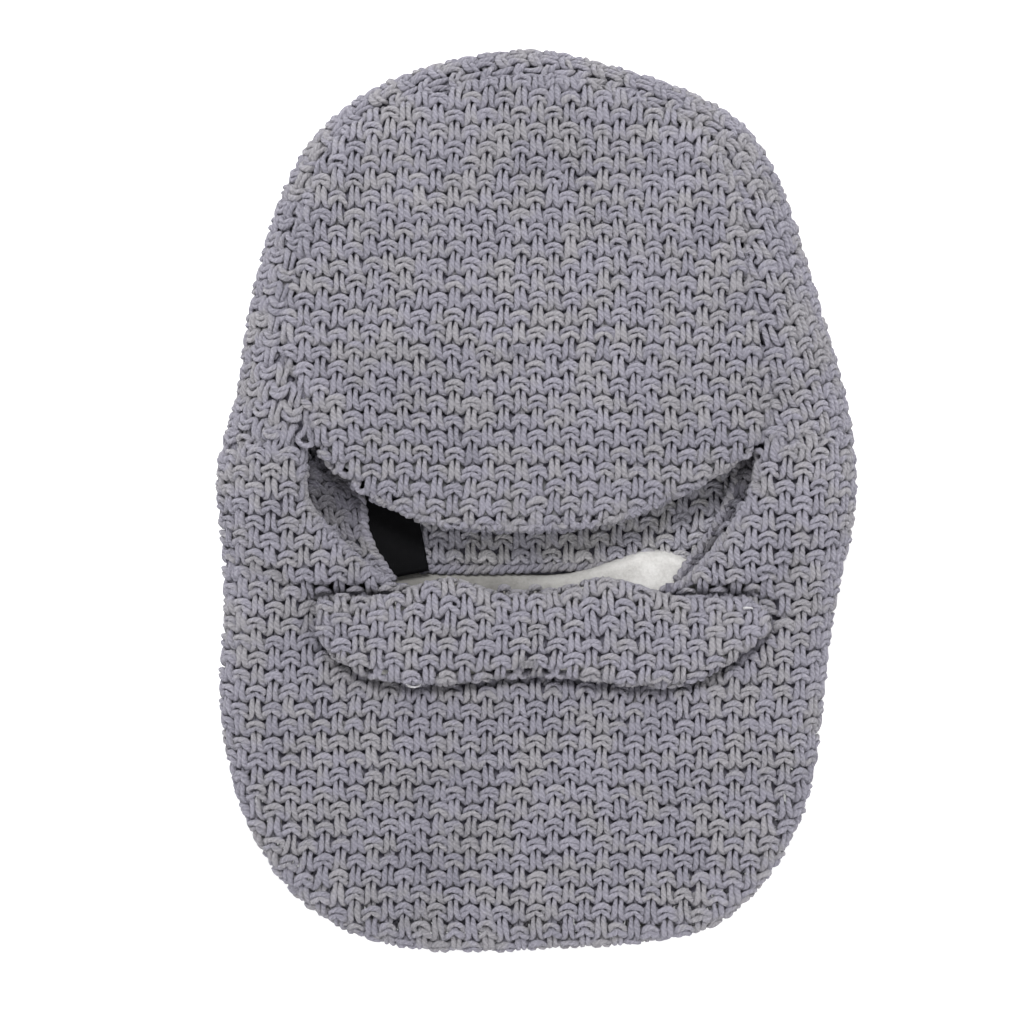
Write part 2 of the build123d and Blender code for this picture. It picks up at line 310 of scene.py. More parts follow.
def side_surface(u, v):
    """The upper side panels. u runs outwards from where the side's curve starts, v along the edge."""
    point, normal = HOOD.at(v)
    reach = edge_reach(point[..., 1])
    flat = point + normal * (u - reach)[..., None]
    top = front_height(flat[..., 0], flat[..., 1]) - KNIT_DEPTH
    drop = top - FOLD_Z
    arc = math.pi / 2 * np.sqrt((reach ** 2 + drop ** 2) / 2)
    turn = np.clip(u / arc, 0, 1) * math.pi / 2
    out = np.where(u < 0, u - reach, reach * (np.sin(turn) - 1))
    xy = point + normal * out[..., None]
    z = np.where(u < 0, top, FOLD_Z + drop * np.cos(turn))
    d, _, _ = CROWN.nearest(xy[..., 0], xy[..., 1])
    z = z - 2.3 * np.exp(-(np.maximum(d, 0) / 3.0) ** 2)
    return np.concatenate([xy, z[..., None]], axis=-1)


def back_surface(u, v):
    """The back panel, seen from below."""
    hem = 1 - smooth(v, -122, -104)
    low = KNIT_DEPTH + 0 * u
    return rolled(HOOD, u, v, 7.0, low, FOLD_Z - 0.3 - hem * 4.0)


def flap_wave(u):
    """How the flap's top edge rises at two humps and drops in the middle and at its ends."""
    humps = np.exp(-((u + 36) / 17) ** 2) + np.exp(-((u - 27) / 19) ** 2)
    return 7.5 * humps - 3.0


def flap_surface(u, v):
    sag = mound(u, v, 0, -72, 26, 10, -0.8) + 0.6 * np.sin(u / 13.0)
    top = FLAP_TOP - KNIT_DEPTH + sag
    point = rolled(FLAP, u, v, 5.0, top, top - 5.2)
    near_top = smooth(point[..., 1], FLAP_FOLD_Y - 22, FLAP_FOLD_Y)
    point[..., 1] += flap_wave(u) * near_top
    point[..., 2] -= 1.5 * near_top
    return point


def lining_surface(u, v):
    """Inner knit of the head: its hem steps up over the fleece and curves under."""
    hem_y = box_mm("head_lining")[0][1] + 2
    low, high = box_mm("head_lining")[0][2] + 1.6, box_mm("head_lining")[1][2] - KNIT_DEPTH
    top = low + (high - low) * (1 - smooth(v, -12, 12))
    over = np.clip((hem_y + 3 - v) / 5.0, 0, 1)
    z = top - 3.4 * (1 - np.cos(over * math.pi / 2))
    y = np.where(over > 0, hem_y + 3 - 3 * np.sin(over * math.pi / 2), v)
    return np.stack([u, y, z], axis=-1)


def edge_line(node, side, step=2.0):
    """The inner edge of a side panel or facing, as x for each y, going in from the outside."""
    low, high = box_mm(node)
    ys = np.arange(low[1] + 0.4, min(high[1], 17.5), step)
    xs = []
    for y in ys:
        x = side * 10.0
        while abs(x) < 127 and not covered([node], x, y):
            x += side * 0.5
        xs.append(x)
    return ys, np.array(xs)


def lower_edge(node, step=3.0):
    """The lower edge of a side panel, as y for each x."""
    low, high = box_mm(node)
    xs = np.arange(low[0] + 1, high[0] - 1, step)
    ys = []
    for x in xs:
        y = low[1] - 3.0
        while y < 40 and not covered([node], x, y):
            y += 0.5
        ys.append(y)
    xs, ys = xs[np.array(ys) < 39], np.array([y for y in ys if y < 39])
    return xs, ys


LEFT_CHEEK = edge_line("left_side_panel", -1)
RIGHT_CHEEK = edge_line("right_side_panel", 1)
LEFT_CREASE = lower_edge("left_side_panel")
RIGHT_CREASE = lower_edge("right_side_panel")


def crease_y(x):
    """Where the side panels end and the bib starts, for each x."""
    left = np.interp(x, *LEFT_CREASE)
    right = np.interp(x, *RIGHT_CREASE)
    return np.where(x < 0, left, right)


def opening_outline(count=200):
    """The face opening: up one cheek edge, across under the peak, and down the other."""
    left = np.stack([LEFT_CHEEK[1], LEFT_CHEEK[0]], axis=-1)
    right = np.stack([RIGHT_CHEEK[1], RIGHT_CHEEK[0]], axis=-1)
    corner_l, corner_r = (left[-1][0] - 0.4, 44.0), (right[-1][0] + 0.4, 44.0)
    loop = np.vstack([right, [corner_r], [corner_l], left[::-1], [(left[0][0] + 1, FLAP_FOLD_Y + 1.5)],
                      [(right[0][0] - 1, FLAP_FOLD_Y + 1.5)]])
    ahead = np.roll(loop, -1, axis=0)
    marks = np.concatenate([[0], np.cumsum(np.linalg.norm(ahead - loop, axis=1))])
    closed = np.vstack([loop, loop[:1]])
    s = np.arange(count) * marks[-1] / count
    return np.stack([np.interp(s, marks, closed[:, k]) for k in (0, 1)], axis=-1)


OPENING = Outline(opening_outline())


# ---------------------------------------------------------------- yarn

def smooth_path(half, count):
    """A whole loop from its half: mirrored, then resampled along a Catmull-Rom curve."""
    half = np.array(half)
    left = half * (-1, 1, 1)
    points = np.vstack([left, half[-2::-1]])
    padded = np.vstack([2 * points[0] - points[1], points, 2 * points[-1] - points[-2]])
    steps = np.linalg.norm(np.diff(points, axis=0), axis=1)
    marks = np.concatenate([[0], np.cumsum(steps)])
    found = []
    for s in np.linspace(0, marks[-1], count):
        k = min(int(np.searchsorted(marks, s, side="right")) - 1, len(points) - 2)
        t = (s - marks[k]) / steps[k]
        a, b, c, d = padded[k:k + 4]
        found.append(0.5 * (2 * b + (c - a) * t + (2 * a - 5 * b + 4 * c - d) * t ** 2
                            + (3 * b - a - 3 * c + d) * t ** 3))
    return np.array(found)


def normals_of(surface, u, v, facing):
    """The surface's point and normal at each place."""
    e = 0.4
    point = surface(u, v)
    across = surface(u + e, v) - surface(u - e, v)
    up = surface(u, v + e) - surface(u, v - e)
    normal = np.cross(across, up) * facing
    size = np.linalg.norm(normal, axis=-1, keepdims=True)
    return point, normal / np.maximum(size, 1e-9)


def tube_points(paths, radii, sides):
    """The rings of points round each path with its two twisted plies, and each ring's place along it."""
    count, samples, _ = paths.shape
    along = np.gradient(paths, axis=1)
    along /= np.maximum(np.linalg.norm(along, axis=2, keepdims=True), 1e-9)
    first = np.cross(along[:, 0] + (1e-5, 2e-5, 0), np.array([0.31, 0.27, 0.91]))
    first /= np.linalg.norm(first, axis=1, keepdims=True)
    one = np.empty_like(paths)
    for k in range(samples):
        first = first - (first * along[:, k]).sum(axis=1, keepdims=True) * along[:, k]
        first /= np.maximum(np.linalg.norm(first, axis=1, keepdims=True), 1e-9)
        one[:, k] = first
    other = np.cross(along, one)
    angle = np.arange(sides) * 2 * math.pi / sides
    ring = (one[:, :, None] * np.cos(angle)[:, None] + other[:, :, None] * np.sin(angle)[:, None])
    steps = np.linalg.norm(np.diff(paths, axis=1), axis=2)
    run = np.concatenate([np.zeros((count, 1)), np.cumsum(steps, axis=1)], axis=1)
    ply = np.cos(2 * (angle[None, None, :] - run[:, :, None] * math.pi / PLY_PITCH))
    wide_here = radii[:, :, None] * (1 + PLY_DEPTH * ply)
    points = paths[:, :, None] + ring * wide_here[..., None]
    return points.reshape(-1, 3) * MM, run


def tube_faces(count, samples, sides):
    """The four-sided faces along every tube, and the caps that close its two ends."""
    base = (np.arange(count) * samples * sides)[:, None, None]
    k = np.arange(samples - 1)[None, :, None] * sides
    m = np.arange(sides)[None, None, :]
    after = (m + 1) % sides
    quads = np.stack([base + k + m, base + k + after, base + k + sides + after,
                      base + k + sides + m], axis=-1).reshape(-1, 4)
    start_cap = (np.arange(count) * samples * sides)[:, None] + np.arange(sides)[::-1]
    end_cap = start_cap[:, ::-1] + (samples - 1) * sides
    return quads, np.vstack([start_cap, end_cap])


def tube_uvs(run, sides):
    """UVs in the order of the faces: a cell of its own for each tube, and a layer along the yarn."""
    count, samples = run.shape
    k = np.arange(samples - 1)[None, :, None] * sides
    m = np.arange(sides)[None, None, :]
    angle = np.arange(sides) * 2 * math.pi / sides
    wide = int(math.ceil(math.sqrt(count)))
    cell_x = (np.arange(count) % wide)[:, None, None]
    cell_y = (np.arange(count) // wide)[:, None, None]
    share_m = np.stack([m, m + 1, m + 1, m], axis=-1) / sides
    share_k = np.stack([k, k, k + sides, k + sides], axis=-1) / (sides * (samples - 1))
    zero = np.zeros((count, samples - 1, sides, 4))
    bake_u = (cell_x[..., None] + 0.04 + 0.84 * (share_m + zero)) / wide
    bake_v = (cell_y[..., None] + 0.04 + 0.92 * (share_k + zero)) / wide
    k_index = np.arange(samples - 1)
    yarn_v = np.stack([run[:, k_index], run[:, k_index], run[:, k_index + 1],
                       run[:, k_index + 1]], axis=-1)[:, :, None, :] + zero
    yarn_u = share_m + zero
    cap_cells = np.concatenate([np.arange(count), np.arange(count)])
    cap_u = ((cap_cells % wide)[:, None] + 0.94 + 0.02 * np.cos(angle)) / wide
    cap_v = ((cap_cells // wide)[:, None] + 0.5 + 0.02 * np.sin(angle)) / wide
    bake = np.stack([np.concatenate([bake_u.ravel(), cap_u.ravel()]),
                     np.concatenate([bake_v.ravel(), cap_v.ravel()])], axis=-1)
    strand = np.stack([np.concatenate([yarn_u.ravel(), 0 * cap_u.ravel()]),
                       np.concatenate([yarn_v.ravel(), 0 * cap_u.ravel()])], axis=-1)
    return bake, strand


def tube_mesh(name, paths, radii, sides, tone):
    """One closed tube of twisted yarn for each path, as a single mesh object."""
    count, samples, _ = paths.shape
    points, run = tube_points(paths, radii, sides)
    quads, caps = tube_faces(count, samples, sides)
    mesh = bpy.data.meshes.new(name)
    mesh.vertices.add(len(points))
    mesh.vertices.foreach_set("co", points.astype(np.float32).ravel())
    loops = np.concatenate([quads.ravel(), caps.ravel()])
    sizes = np.concatenate([np.full(len(quads), 4), np.full(len(caps), sides)])
    mesh.loops.add(len(loops))
    mesh.loops.foreach_set("vertex_index", loops.astype(np.int32))
    mesh.polygons.add(len(sizes))
    starts = np.concatenate([[0], np.cumsum(sizes)[:-1]])
    mesh.polygons.foreach_set("loop_start", starts.astype(np.int32))
    mesh.polygons.foreach_set("use_smooth", np.ones(len(sizes), bool))
    mesh.update(calc_edges=True)
    mesh.validate()
    for layer, values in zip(("OFBake", "Strand"), tube_uvs(run, sides)):
        made = mesh.uv_layers.new(name=layer)
        made.data.foreach_set("uv", values.astype(np.float32).ravel())
    shade = mesh.attributes.new("tone", "FLOAT", "POINT")
    values = np.repeat(tone, samples * sides)
    shade.data.foreach_set("value", values.astype(np.float32))
    return added(name, mesh)


def wander(u, v, amount):
    """The small drift of wales and courses in a hand-like knit."""
    du = amount * (np.sin(v / 11.3 + 0.6 * np.sin(u / 17.0)) + 0.6 * np.sin(v / 5.1 + u / 29.0))
    dv = amount * (np.sin(u / 12.7 + 0.7 * np.sin(v / 19.0)) + 0.6 * np.sin(u / 4.7 - v / 23.0))
    return du, dv


def stitches(surface, across, up, keep, facing=1, wale=WALE, course=COURSE, yarn=YARN,
             samples=LOOP_SAMPLES):
    """Centrelines, radii and tones for seed stitch over the ranges across and up, where keep says so."""
    columns = np.arange(math.floor(across[0] / wale), math.ceil(across[1] / wale) + 1)
    rows = np.arange(math.floor(up[0] / course), math.ceil(up[1] / course) + 1)
    i, j = [a.ravel() for a in np.meshgrid(columns, rows)]
    middle = surface(i * wale, j * course + course)
    wanted = keep(i * wale, j * course + course, middle)
    i, j = i[wanted], j[wanted]
    loops = np.stack([smooth_path(KNIT_HALF, samples), smooth_path(PURL_HALF, samples)])
    loops = loops * (wale / WALE, course / COURSE, yarn / YARN)
    path = loops[(i + j) % 2]
    free = np.sin(np.linspace(0, math.pi, samples))[None, :]
    jitter = random.normal(0, 1, (len(i), 4))
    u = (i * wale)[:, None] + path[:, :, 0] * (1 + 0.06 * jitter[:, :1] * free)
    u = u + 0.28 * jitter[:, 1:2] * free
    v = (j * course)[:, None] + path[:, :, 1] + 0.38 * jitter[:, 2:3] * free
    h = path[:, :, 2] + 0.16 * jitter[:, 3:4] * free
    du, dv = wander(u, v, 0.45)
    point, normal = normals_of(surface, u + du, v + dv, facing)
    radii = yarn * (1 + 0.06 * random.normal(0, 1, (len(i), 1))) * np.ones_like(h)
    radii = radii * (1 + 0.05 * np.sin(np.linspace(0, 17, samples))[None, :])
    tone = random.normal(0, 1, len(i)) * 0.5 + 0.7 * np.sin(j * 1.9) * np.sin(j * 0.37 + 1)
    return point + normal * h[..., None], radii, tone


def knit(name, parts, sides=LOOP_SIDES):
    """One knitted piece from one or more fields of stitches."""
    paths, radii, tones = [np.concatenate(found) for found in zip(*parts)]
    return tube_mesh(name, paths, radii, sides, tones)


# ---------------------------------------------------------------- sheets under the yarn and linings

def closed_sheet(name, outer, inner, cells, facing=1):
    """A closed mesh between two grids of points, over the grid cells that are wanted."""
    count = outer.shape[0] * outer.shape[1]
    number = np.arange(count).reshape(outer.shape[:2])
    a, b = number[:-1, :-1][cells], number[:-1, 1:][cells]
    c, d = number[1:, 1:][cells], number[1:, :-1][cells]
    top = np.stack([a, b, c, d], axis=-1)
    low = top[:, ::-1] + count
    edges = {}
    for face in top:
        for k in range(4):
            edges[(int(face[k]), int(face[(k + 1) % 4]))] = True
    walls = [(q, p, p + count, q + count) for p, q in edges if (q, p) not in edges]
    faces = [tuple(f) for f in top] + [tuple(f) for f in low] + walls
    if facing < 0:
        faces = [f[::-1] for f in faces]
    points = np.vstack([outer.reshape(-1, 3), inner.reshape(-1, 3)]) * MM
    used = sorted({int(k) for f in faces for k in f})
    place = {k: n for n, k in enumerate(used)}
    mesh = bpy.data.meshes.new(name)
    mesh.from_pydata([tuple(points[k]) for k in used], [], [[place[int(k)] for k in f] for f in faces])
    mesh.update()
    mesh.polygons.foreach_set("use_smooth", np.ones(len(mesh.polygons), bool))
    return added(name, mesh)


def sheet_mesh(name, surface, across, up, step, keep, offset, thick, facing=1):
    """A closed sheet that follows a surface at an offset from it, where keep says so."""
    us = np.arange(across[0], across[1] + step, step)
    vs = np.arange(up[0], up[1] + step, step)
    u, v = np.meshgrid(us, vs)
    point, normal = normals_of(surface, u, v, facing)
    good = keep(u.ravel(), v.ravel(), point.reshape(-1, 3)).reshape(u.shape)
    cells = good[:-1, :-1] & good[1:, :-1] & good[:-1, 1:] & good[1:, 1:]
    outer = point + normal * offset
    return closed_sheet(name, outer, point + normal * (offset - thick), cells, facing)


# ---------------------------------------------------------------- materials

class Look:
    """A material while it is being made, with short ways to add the nodes used here."""

    def __init__(self, name):
        self.material = bpy.data.materials.new(name)
        self.material.use_nodes = True
        self.nodes, self.links = self.material.node_tree.nodes, self.material.node_tree.links
        self.shader = self.nodes["Principled BSDF"]
        self.place = self.nodes.new("ShaderNodeTexCoord").outputs["Object"]

    def add(self, kind, **values):
        """A node with its properties and input values set."""
        node = self.nodes.new(kind)
        for key, value in values.items():
            if key.startswith("in_"):
                node.inputs[key[3:].replace("_", " ")].default_value = value
            else:
                setattr(node, key, value)
        return node

    def feed(self, *pairs):
        """Links or sets each input socket; a value of None leaves it alone."""
        for socket, value in pairs:
            if isinstance(value, bpy.types.NodeSocket):
                self.links.new(value, socket)
            elif value is not None:
                socket.default_value = value

    def noise(self, scale, detail=3.0, rough=0.6, where=None):
        node = self.add("ShaderNodeTexNoise", in_Scale=scale, in_Detail=detail, in_Roughness=rough)
        self.links.new(self.place if where is None else where, node.inputs["Vector"])
        return node.outputs["Fac"]

    def ramp(self, value, stops):
        node = self.nodes.new("ShaderNodeValToRGB")
        self.links.new(value, node.inputs["Fac"])
        for element, (place, colour) in zip(node.color_ramp.elements, stops):
            element.position = place
            element.color = (*colour, 1)
        return node.outputs["Color"]

    def mixed(self, kind, share, one, two):
        """Two colours mixed; each input is a value or a socket."""
        node = self.add("ShaderNodeMix", data_type="RGBA", blend_type=kind)
        self.feed((node.inputs["Factor"], share), (node.inputs[6], one), (node.inputs[7], two))
        return node.outputs[2]

    def sums(self, kind, one, two=None):
        node = self.add("ShaderNodeMath", operation=kind)
        self.feed((node.inputs[0], one), (node.inputs[1], two))
        return node.outputs["Value"]

    def total(self, *parts):
        """A weighted sum of (socket, weight) pairs."""
        found = None
        for value, weight in parts:
            part = value if weight == 1 else self.sums("MULTIPLY", value, weight)
            found = part if found is None else self.sums("ADD", found, part)
        return found

    def axis(self, letter, low, high):
        """How far a point has come from low to high along an axis, from 0 to 1."""
        split = self.nodes.new("ShaderNodeSeparateXYZ")
        self.links.new(self.place, split.inputs["Vector"])
        node = self.add("ShaderNodeMapRange", in_From_Min=low, in_From_Max=high)
        self.links.new(split.outputs[letter], node.inputs["Value"])
        return node.outputs["Result"]

    def finish(self, colour, height, strength, distance, **values):
        """Connects the colour and the bump, and sets the shader's other inputs."""
        self.links.new(colour, self.shader.inputs["Base Color"])
        bump = self.add("ShaderNodeBump", in_Strength=strength, in_Distance=distance)
        self.links.new(height, bump.inputs["Height"])
        self.links.new(bump.outputs["Normal"], self.shader.inputs["Normal"])
        for key, value in values.items():
            self.shader.inputs[key.replace("_", " ")].default_value = value
        return self.material


def yarn_material(name, light, dark, twist=1.0, shaded_from=None):
    """Soft acrylic-wool yarn: twisted plies, fibres along them, and colour that drifts between stitches.

    shaded_from is the height up the hood, in metres, above which the yarn's colour darkens as painted
    shade.
    """
    look = Look(name)
    strand = look.add("ShaderNodeUVMap", uv_map="Strand").outputs["UV"]
    split = look.nodes.new("ShaderNodeSeparateXYZ")
    look.links.new(strand, split.inputs["Vector"])
    turns = look.sums("MULTIPLY", split.outputs["X"], 3.0)
    phase = look.sums("ADD", turns, look.sums("MULTIPLY", split.outputs["Y"], 0.52))
    ply = look.sums("SINE", look.sums("MULTIPLY", phase, 2 * math.pi))
    stretch = look.nodes.new("ShaderNodeCombineXYZ")
    look.links.new(phase, stretch.inputs["X"])
    look.links.new(look.sums("MULTIPLY", split.outputs["Y"], 0.12), stretch.inputs["Y"])
    fibre = look.noise(9.0, 4.0, 0.7, stretch.outputs["Vector"])
    fuzz = look.noise(1100.0, 5.0, 0.8)
    drift = look.noise(16.0, 2.0, 0.5)
    patches = look.noise(62.0, 3.0, 0.6)
    tone = look.add("ShaderNodeAttribute", attribute_name="tone").outputs["Fac"]
    stitch = look.sums("MULTIPLY", tone, 0.09)
    share = look.total((stitch, 1), (drift, 0.35), (fuzz, 0.65), (fibre, 0.6), (ply, 0.09 * twist))
    violet = look.ramp(share, [(0.46, dark), (1.0, light)])
    warm = look.mixed("MULTIPLY", 1.0, violet, (1.0, 1.0, 0.90, 1))
    warmth = look.ramp(look.total((patches, 1), (stitch, 1)), [(0.46, (0, 0, 0)), (0.60, (1, 1, 1))])
    colour = look.mixed("MIX", warmth, violet, warm)
    # painted shade: the colour darkens up the hood from shaded_from
    if shaded_from is not None:
        up = look.axis("Y", shaded_from, shaded_from + 0.026)
        shade = look.ramp(up, [(0.0, (1, 1, 1)), (1.0, (0.30, 0.295, 0.32))])
        colour = look.mixed("MULTIPLY", 1.0, colour, shade)
    height = look.total((ply, 0.5 * twist), (fibre, 1.6), (fuzz, 1.6))
    return look.finish(colour, height, 0.9, 0.0006, Roughness=0.88, Specular_IOR_Level=0.22,
                       Sheen_Weight=0.28, Sheen_Roughness=0.45, Sheen_Tint=(0.86, 0.86, 0.95, 1))


def ground_material():
    """The sheet behind the stitches, standing for the far side of the knit: coloured darker than the
    yarn as painted shade, seen between the stitches.
    """
    look = Look("knit_ground_painted_shade")
    speck = look.noise(700.0, 4.0, 0.7)
    colour = look.ramp(speck, [(0.3, (0.090, 0.086, 0.110)), (0.75, (0.20, 0.193, 0.235))])
    return look.finish(colour, speck, 0.6, 0.0005, Roughness=0.95, Specular_IOR_Level=0.1)


def fleece_material(name, light, shade, painted_shade_x=None):
    """Short plush, bright at the tips and warm grey between. Left of the x given last, its colour
    darkens as painted shade.
    """
    look = Look(name)
    pile = look.noise(900.0, 5.0, 0.75)
    tufts = look.noise(170.0, 3.0, 0.6)
    colour = look.ramp(look.total((pile, 0.55), (tufts, 0.5)), [(0.25, shade), (0.62, light)])
    if painted_shade_x is not None:
        # painted shade: the colour darkens towards the left of the given x
        across = look.axis("X", painted_shade_x - 0.06, painted_shade_x)
        painted_shade_ramp = look.ramp(across, [(0.0, (0.40, 0.395, 0.385)), (1.0, (1, 1, 1))])
        colour = look.mixed("MULTIPLY", 1.0, colour, painted_shade_ramp)
    height = look.total((pile, 1), (tufts, 1.5))
    return look.finish(colour, height, 0.45, 0.0006, Roughness=0.95, Sheen_Weight=0.1,
                       Sheen_Roughness=0.5, Specular_IOR_Level=0.15)


def label_material():
    """Plain black woven tape: fine ribs both ways and a faint sheen."""
    look = Look("woven_label")
    ribs = []
    for direction in ("X", "Y"):
        wave = look.add("ShaderNodeTexWave", wave_type="BANDS", bands_direction=direction,
                        in_Scale=420.0, in_Distortion=0.5)
        look.links.new(look.place, wave.inputs["Vector"])
        ribs.append(wave.outputs["Fac"])
    grain = look.noise(300.0, 3.0, 0.6)
    share = look.total((look.sums("MULTIPLY", *ribs), 0.6), (grain, 0.4))
    colour = look.ramp(share, [(0.2, (0.0012, 0.0012, 0.0016)), (0.8, (0.005, 0.005, 0.006))])
    return look.finish(colour, share, 0.4, 0.00015, Roughness=0.7, Specular_IOR_Level=0.06)


def board_material():
    """The moulded board inside the peak: grey plastic with a fine grain."""
    look = Look("peak_board_plastic")
    grain = look.noise(600.0, 4.0, 0.6)
    cloud = look.noise(40.0, 2.0, 0.5)
    share = look.total((grain, 0.4), (cloud, 0.6))
    colour = look.ramp(share, [(0.3, (0.10, 0.10, 0.11)), (0.7, (0.15, 0.15, 0.16))])
    return look.finish(colour, grain, 0.3, 0.0002, Roughness=0.5)


KNIT_GREY = yarn_material("grey_yarn", (0.350, 0.336, 0.397), (0.170, 0.165, 0.202))
# The same yarn as outside, coloured lighter as painted light to make up for the shade inside the face
# opening.
PAINTED_LIGHT_LINING_GREY = yarn_material("grey_yarn_inside_painted_light", (0.53, 0.515, 0.585), (0.23, 0.225, 0.265))
SEAM_GREY = yarn_material("seam_yarn", (0.30, 0.29, 0.34), (0.16, 0.155, 0.19), 1.4)
PAINTED_SHADE_GROUND = ground_material()
FLEECE = fleece_material("white_plush", (0.62, 0.61, 0.595), (0.40, 0.39, 0.375))
LOOSE_YARN = yarn_material("pale_sewing_yarn", (0.80, 0.79, 0.80), (0.50, 0.49, 0.52), twist=0.5)
FACING_LIGHT, FACING_DARK = (0.40, 0.385, 0.445), (0.15, 0.145, 0.18)
# The facings' yarn, with painted shade higher up each facing, under the peak; it starts lower on the
# right.
FACING_GREYS = {
    "left": yarn_material("grey_yarn_left_painted_shade", FACING_LIGHT, FACING_DARK, shaded_from=-0.028),
    "right": yarn_material("grey_yarn_right_painted_shade", FACING_LIGHT, FACING_DARK, shaded_from=-0.050),
}
# The back plush, darkened to the left of x = 0.045 m as painted shade.
BACK_FLEECE = fleece_material("white_plush_back_painted_shade", (0.61, 0.602, 0.588), (0.38, 0.37, 0.355), 0.045)
LABEL = label_material()
BOARD = board_material()


# ---------------------------------------------------------------- the pieces

def place(thing, body, material, slot, *nodes):
    thing.data.materials.clear()
    thing.data.materials.append(material)
    if nodes:
        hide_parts(*nodes)
    if body:
        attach(thing, body)
    return thing


def backing(name, body, surface, across, up, step, keep, facing=1):
    """The closed sheet behind a field of stitches."""
    sheet = sheet_mesh(name, surface, across, up, step, keep, -GROUND_DEPTH, GROUND_THICK, facing)
    place(sheet, body, PAINTED_SHADE_GROUND, "grey_knit")


def make_crown():
    def keep(u, v, points):
        return (CROWN.nearest(u, v)[0] < 2.6) & (v > PEAK_FOLD_Y)

    def keep_ground(u, v, points):
        return (CROWN.nearest(u, v)[0] < 3.5) & (v > PEAK_FOLD_Y - 2)

    across, up = (-108, 104), (PEAK_FOLD_Y - 8, 182)
    yarn = knit("crown_knit", [stitches(crown_surface, across, up, keep)])
    place(yarn, "hood", KNIT_GREY, "grey_knit", "crown_front_panel")
    backing("crown_ground", "hood", crown_surface, across, up, 2.5, keep_ground)


def make_peak():
    fold = PEAK_FOLD_Y  # the knit is blended across it

    def keep_top(u, v, points):
        return (CROWN.nearest(u, v)[0] < 3.4) & (v <= fold)

    def keep_ground(u, v, points):
        return (CROWN.nearest(u, v)[0] < 1.0) & (v < fold - 1)

    def keep_under(u, v, points):
        return (CROWN.nearest(u, v)[0] < 2.0) & (v < fold - 6)

    across = (-100, 100)
    top = knit("peak_top_knit", [stitches(crown_surface, across, (-24, fold + 8), keep_top)])
    place(top, None, KNIT_GREY, "grey_knit", "peak_top_cover")
    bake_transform(top)
    under = knit("peak_under_knit",
                 [stitches(peak_under_surface, across, (-24, fold), keep_under, facing=-1)])
    place(under, "peak", KNIT_GREY, "grey_knit", "peak_under_cover")
    backing("peak_ground", "peak", crown_surface, across, (-20, fold), 2.0, keep_ground)
    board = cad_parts["peak_stiffener"]
    board.data.materials.clear()
    board.data.materials.append(BOARD)


SIDE_SPLIT_Y = 22.0         # above this the side's wales follow the hood's edge, and below it they stand
SIDE_SPLIT_X = box_mm("left_side_panel")[1][0]


def on_side(side, x):
    return (x - SIDE_SPLIT_X) * side > 0


def facing_surface(side, name):
    """A facing inside the opening: u runs outwards from its rim, and v up the hood. Also its width."""
    ys, rims = edge_line(f"{name}_cheek_facing", side)
    rims = np.convolve(np.pad(rims, 2, mode="edge"), np.ones(5) / 5, mode="valid")
    edge = LEFT_CHEEK if side < 0 else RIGHT_CHEEK
    rise = 6.0 if side < 0 else 8.5

    def width(v):
        return np.abs(np.interp(v, *edge) - np.interp(v, ys, rims))

    def surface(u, v):
        out = u + 2.4
        share = np.clip(out / np.maximum(width(v), 4), 0, 1.0)
        z = 15.2 + 1.5 * smooth(-v, 10, 34) + rise * (1 - 0.55 * smooth(-v, 8, 32)) * share ** 1.6
        z = z - 1.2 * np.clip(1 - out / 3.0, 0, 1) ** 2
        return np.stack([np.interp(v, ys, rims) + side * out, v + 0 * u, z], axis=-1)

    return surface, width


def make_sides():
    top_s = HOOD.along(SIDE_SPLIT_X, box_mm("left_side_panel")[1][1])
    for side, name in ((-1, "left"), (1, "right")):
        low_s = HOOD.along(side * 124, SIDE_SPLIT_Y - 8)
        start, end = (top_s, low_s) if side < 0 else (low_s, top_s)
        if end < start:
            start -= HOOD.length[-1]
        node = f"{name}_side_panel"

        def keep_upper(u, v, points, side=side):
            x, y = points[:, 0], points[:, 1]
            clear = CROWN.nearest(x, y)[0] > -1.2
            beside_peak = (y > PEAK_FOLD_Y) | (OPENING.nearest(x, y)[0] > -2.5)
            return clear & beside_peak & (y > SIDE_SPLIT_Y) & on_side(side, x)

        def keep_cheek(u, v, points, side=side):
            inside = OPENING.nearest(u, v)[0] > -3.5
            return inside & (v <= SIDE_SPLIT_Y) & (v > crease_y(u)) & on_side(side, u) & (np.abs(u) > 55)

        def keep_cheek_ground(u, v, points, side=side):
            inside = OPENING.nearest(u, v)[0] > -4
            low = (v <= SIDE_SPLIT_Y + 3) & (v > crease_y(u) - 2)
            return inside & low & on_side(side, u) & (np.abs(u) > 50) & (HOOD.nearest(u, v)[0] < 14)

        surface, width = facing_surface(side, name)

        def keep_facing(u, v, points, width=width):
            low = (v <= SIDE_SPLIT_Y - 4) & (v > FLAP_FOLD_Y + 4)
            return (u >= -0.5) & (u < width(v) + 2.5) & low

        across = (-152, -40) if side < 0 else (40, 152)
        up = (-46, SIDE_SPLIT_Y + 4)
        upper = stitches(side_surface, (-66, 42), (start, end), keep_upper)
        cheek = stitches(front_surface, across, up, keep_cheek)
        place(knit(f"{name}_side_knit", [upper, cheek]), "hood", KNIT_GREY, "grey_knit", node)
        backing(f"{name}_side_ground", "hood", side_surface, (-66, 42), (start, end), 2.5, keep_upper)
        backing(f"{name}_cheek_ground", "hood", front_surface, across, up, 2.0, keep_cheek_ground)
        parts = [stitches(surface, (0, 40), up, keep_facing, side, wale=5.6, course=5.8, yarn=1.05)]
        place(knit(f"{name}_facing_knit", parts), "hood", FACING_GREYS[name], "grey_knit",
              f"{name}_cheek_facing")
        backing(f"{name}_facing_ground", "hood", surface, (-0.4, 40), up, 1.5, keep_facing, side)


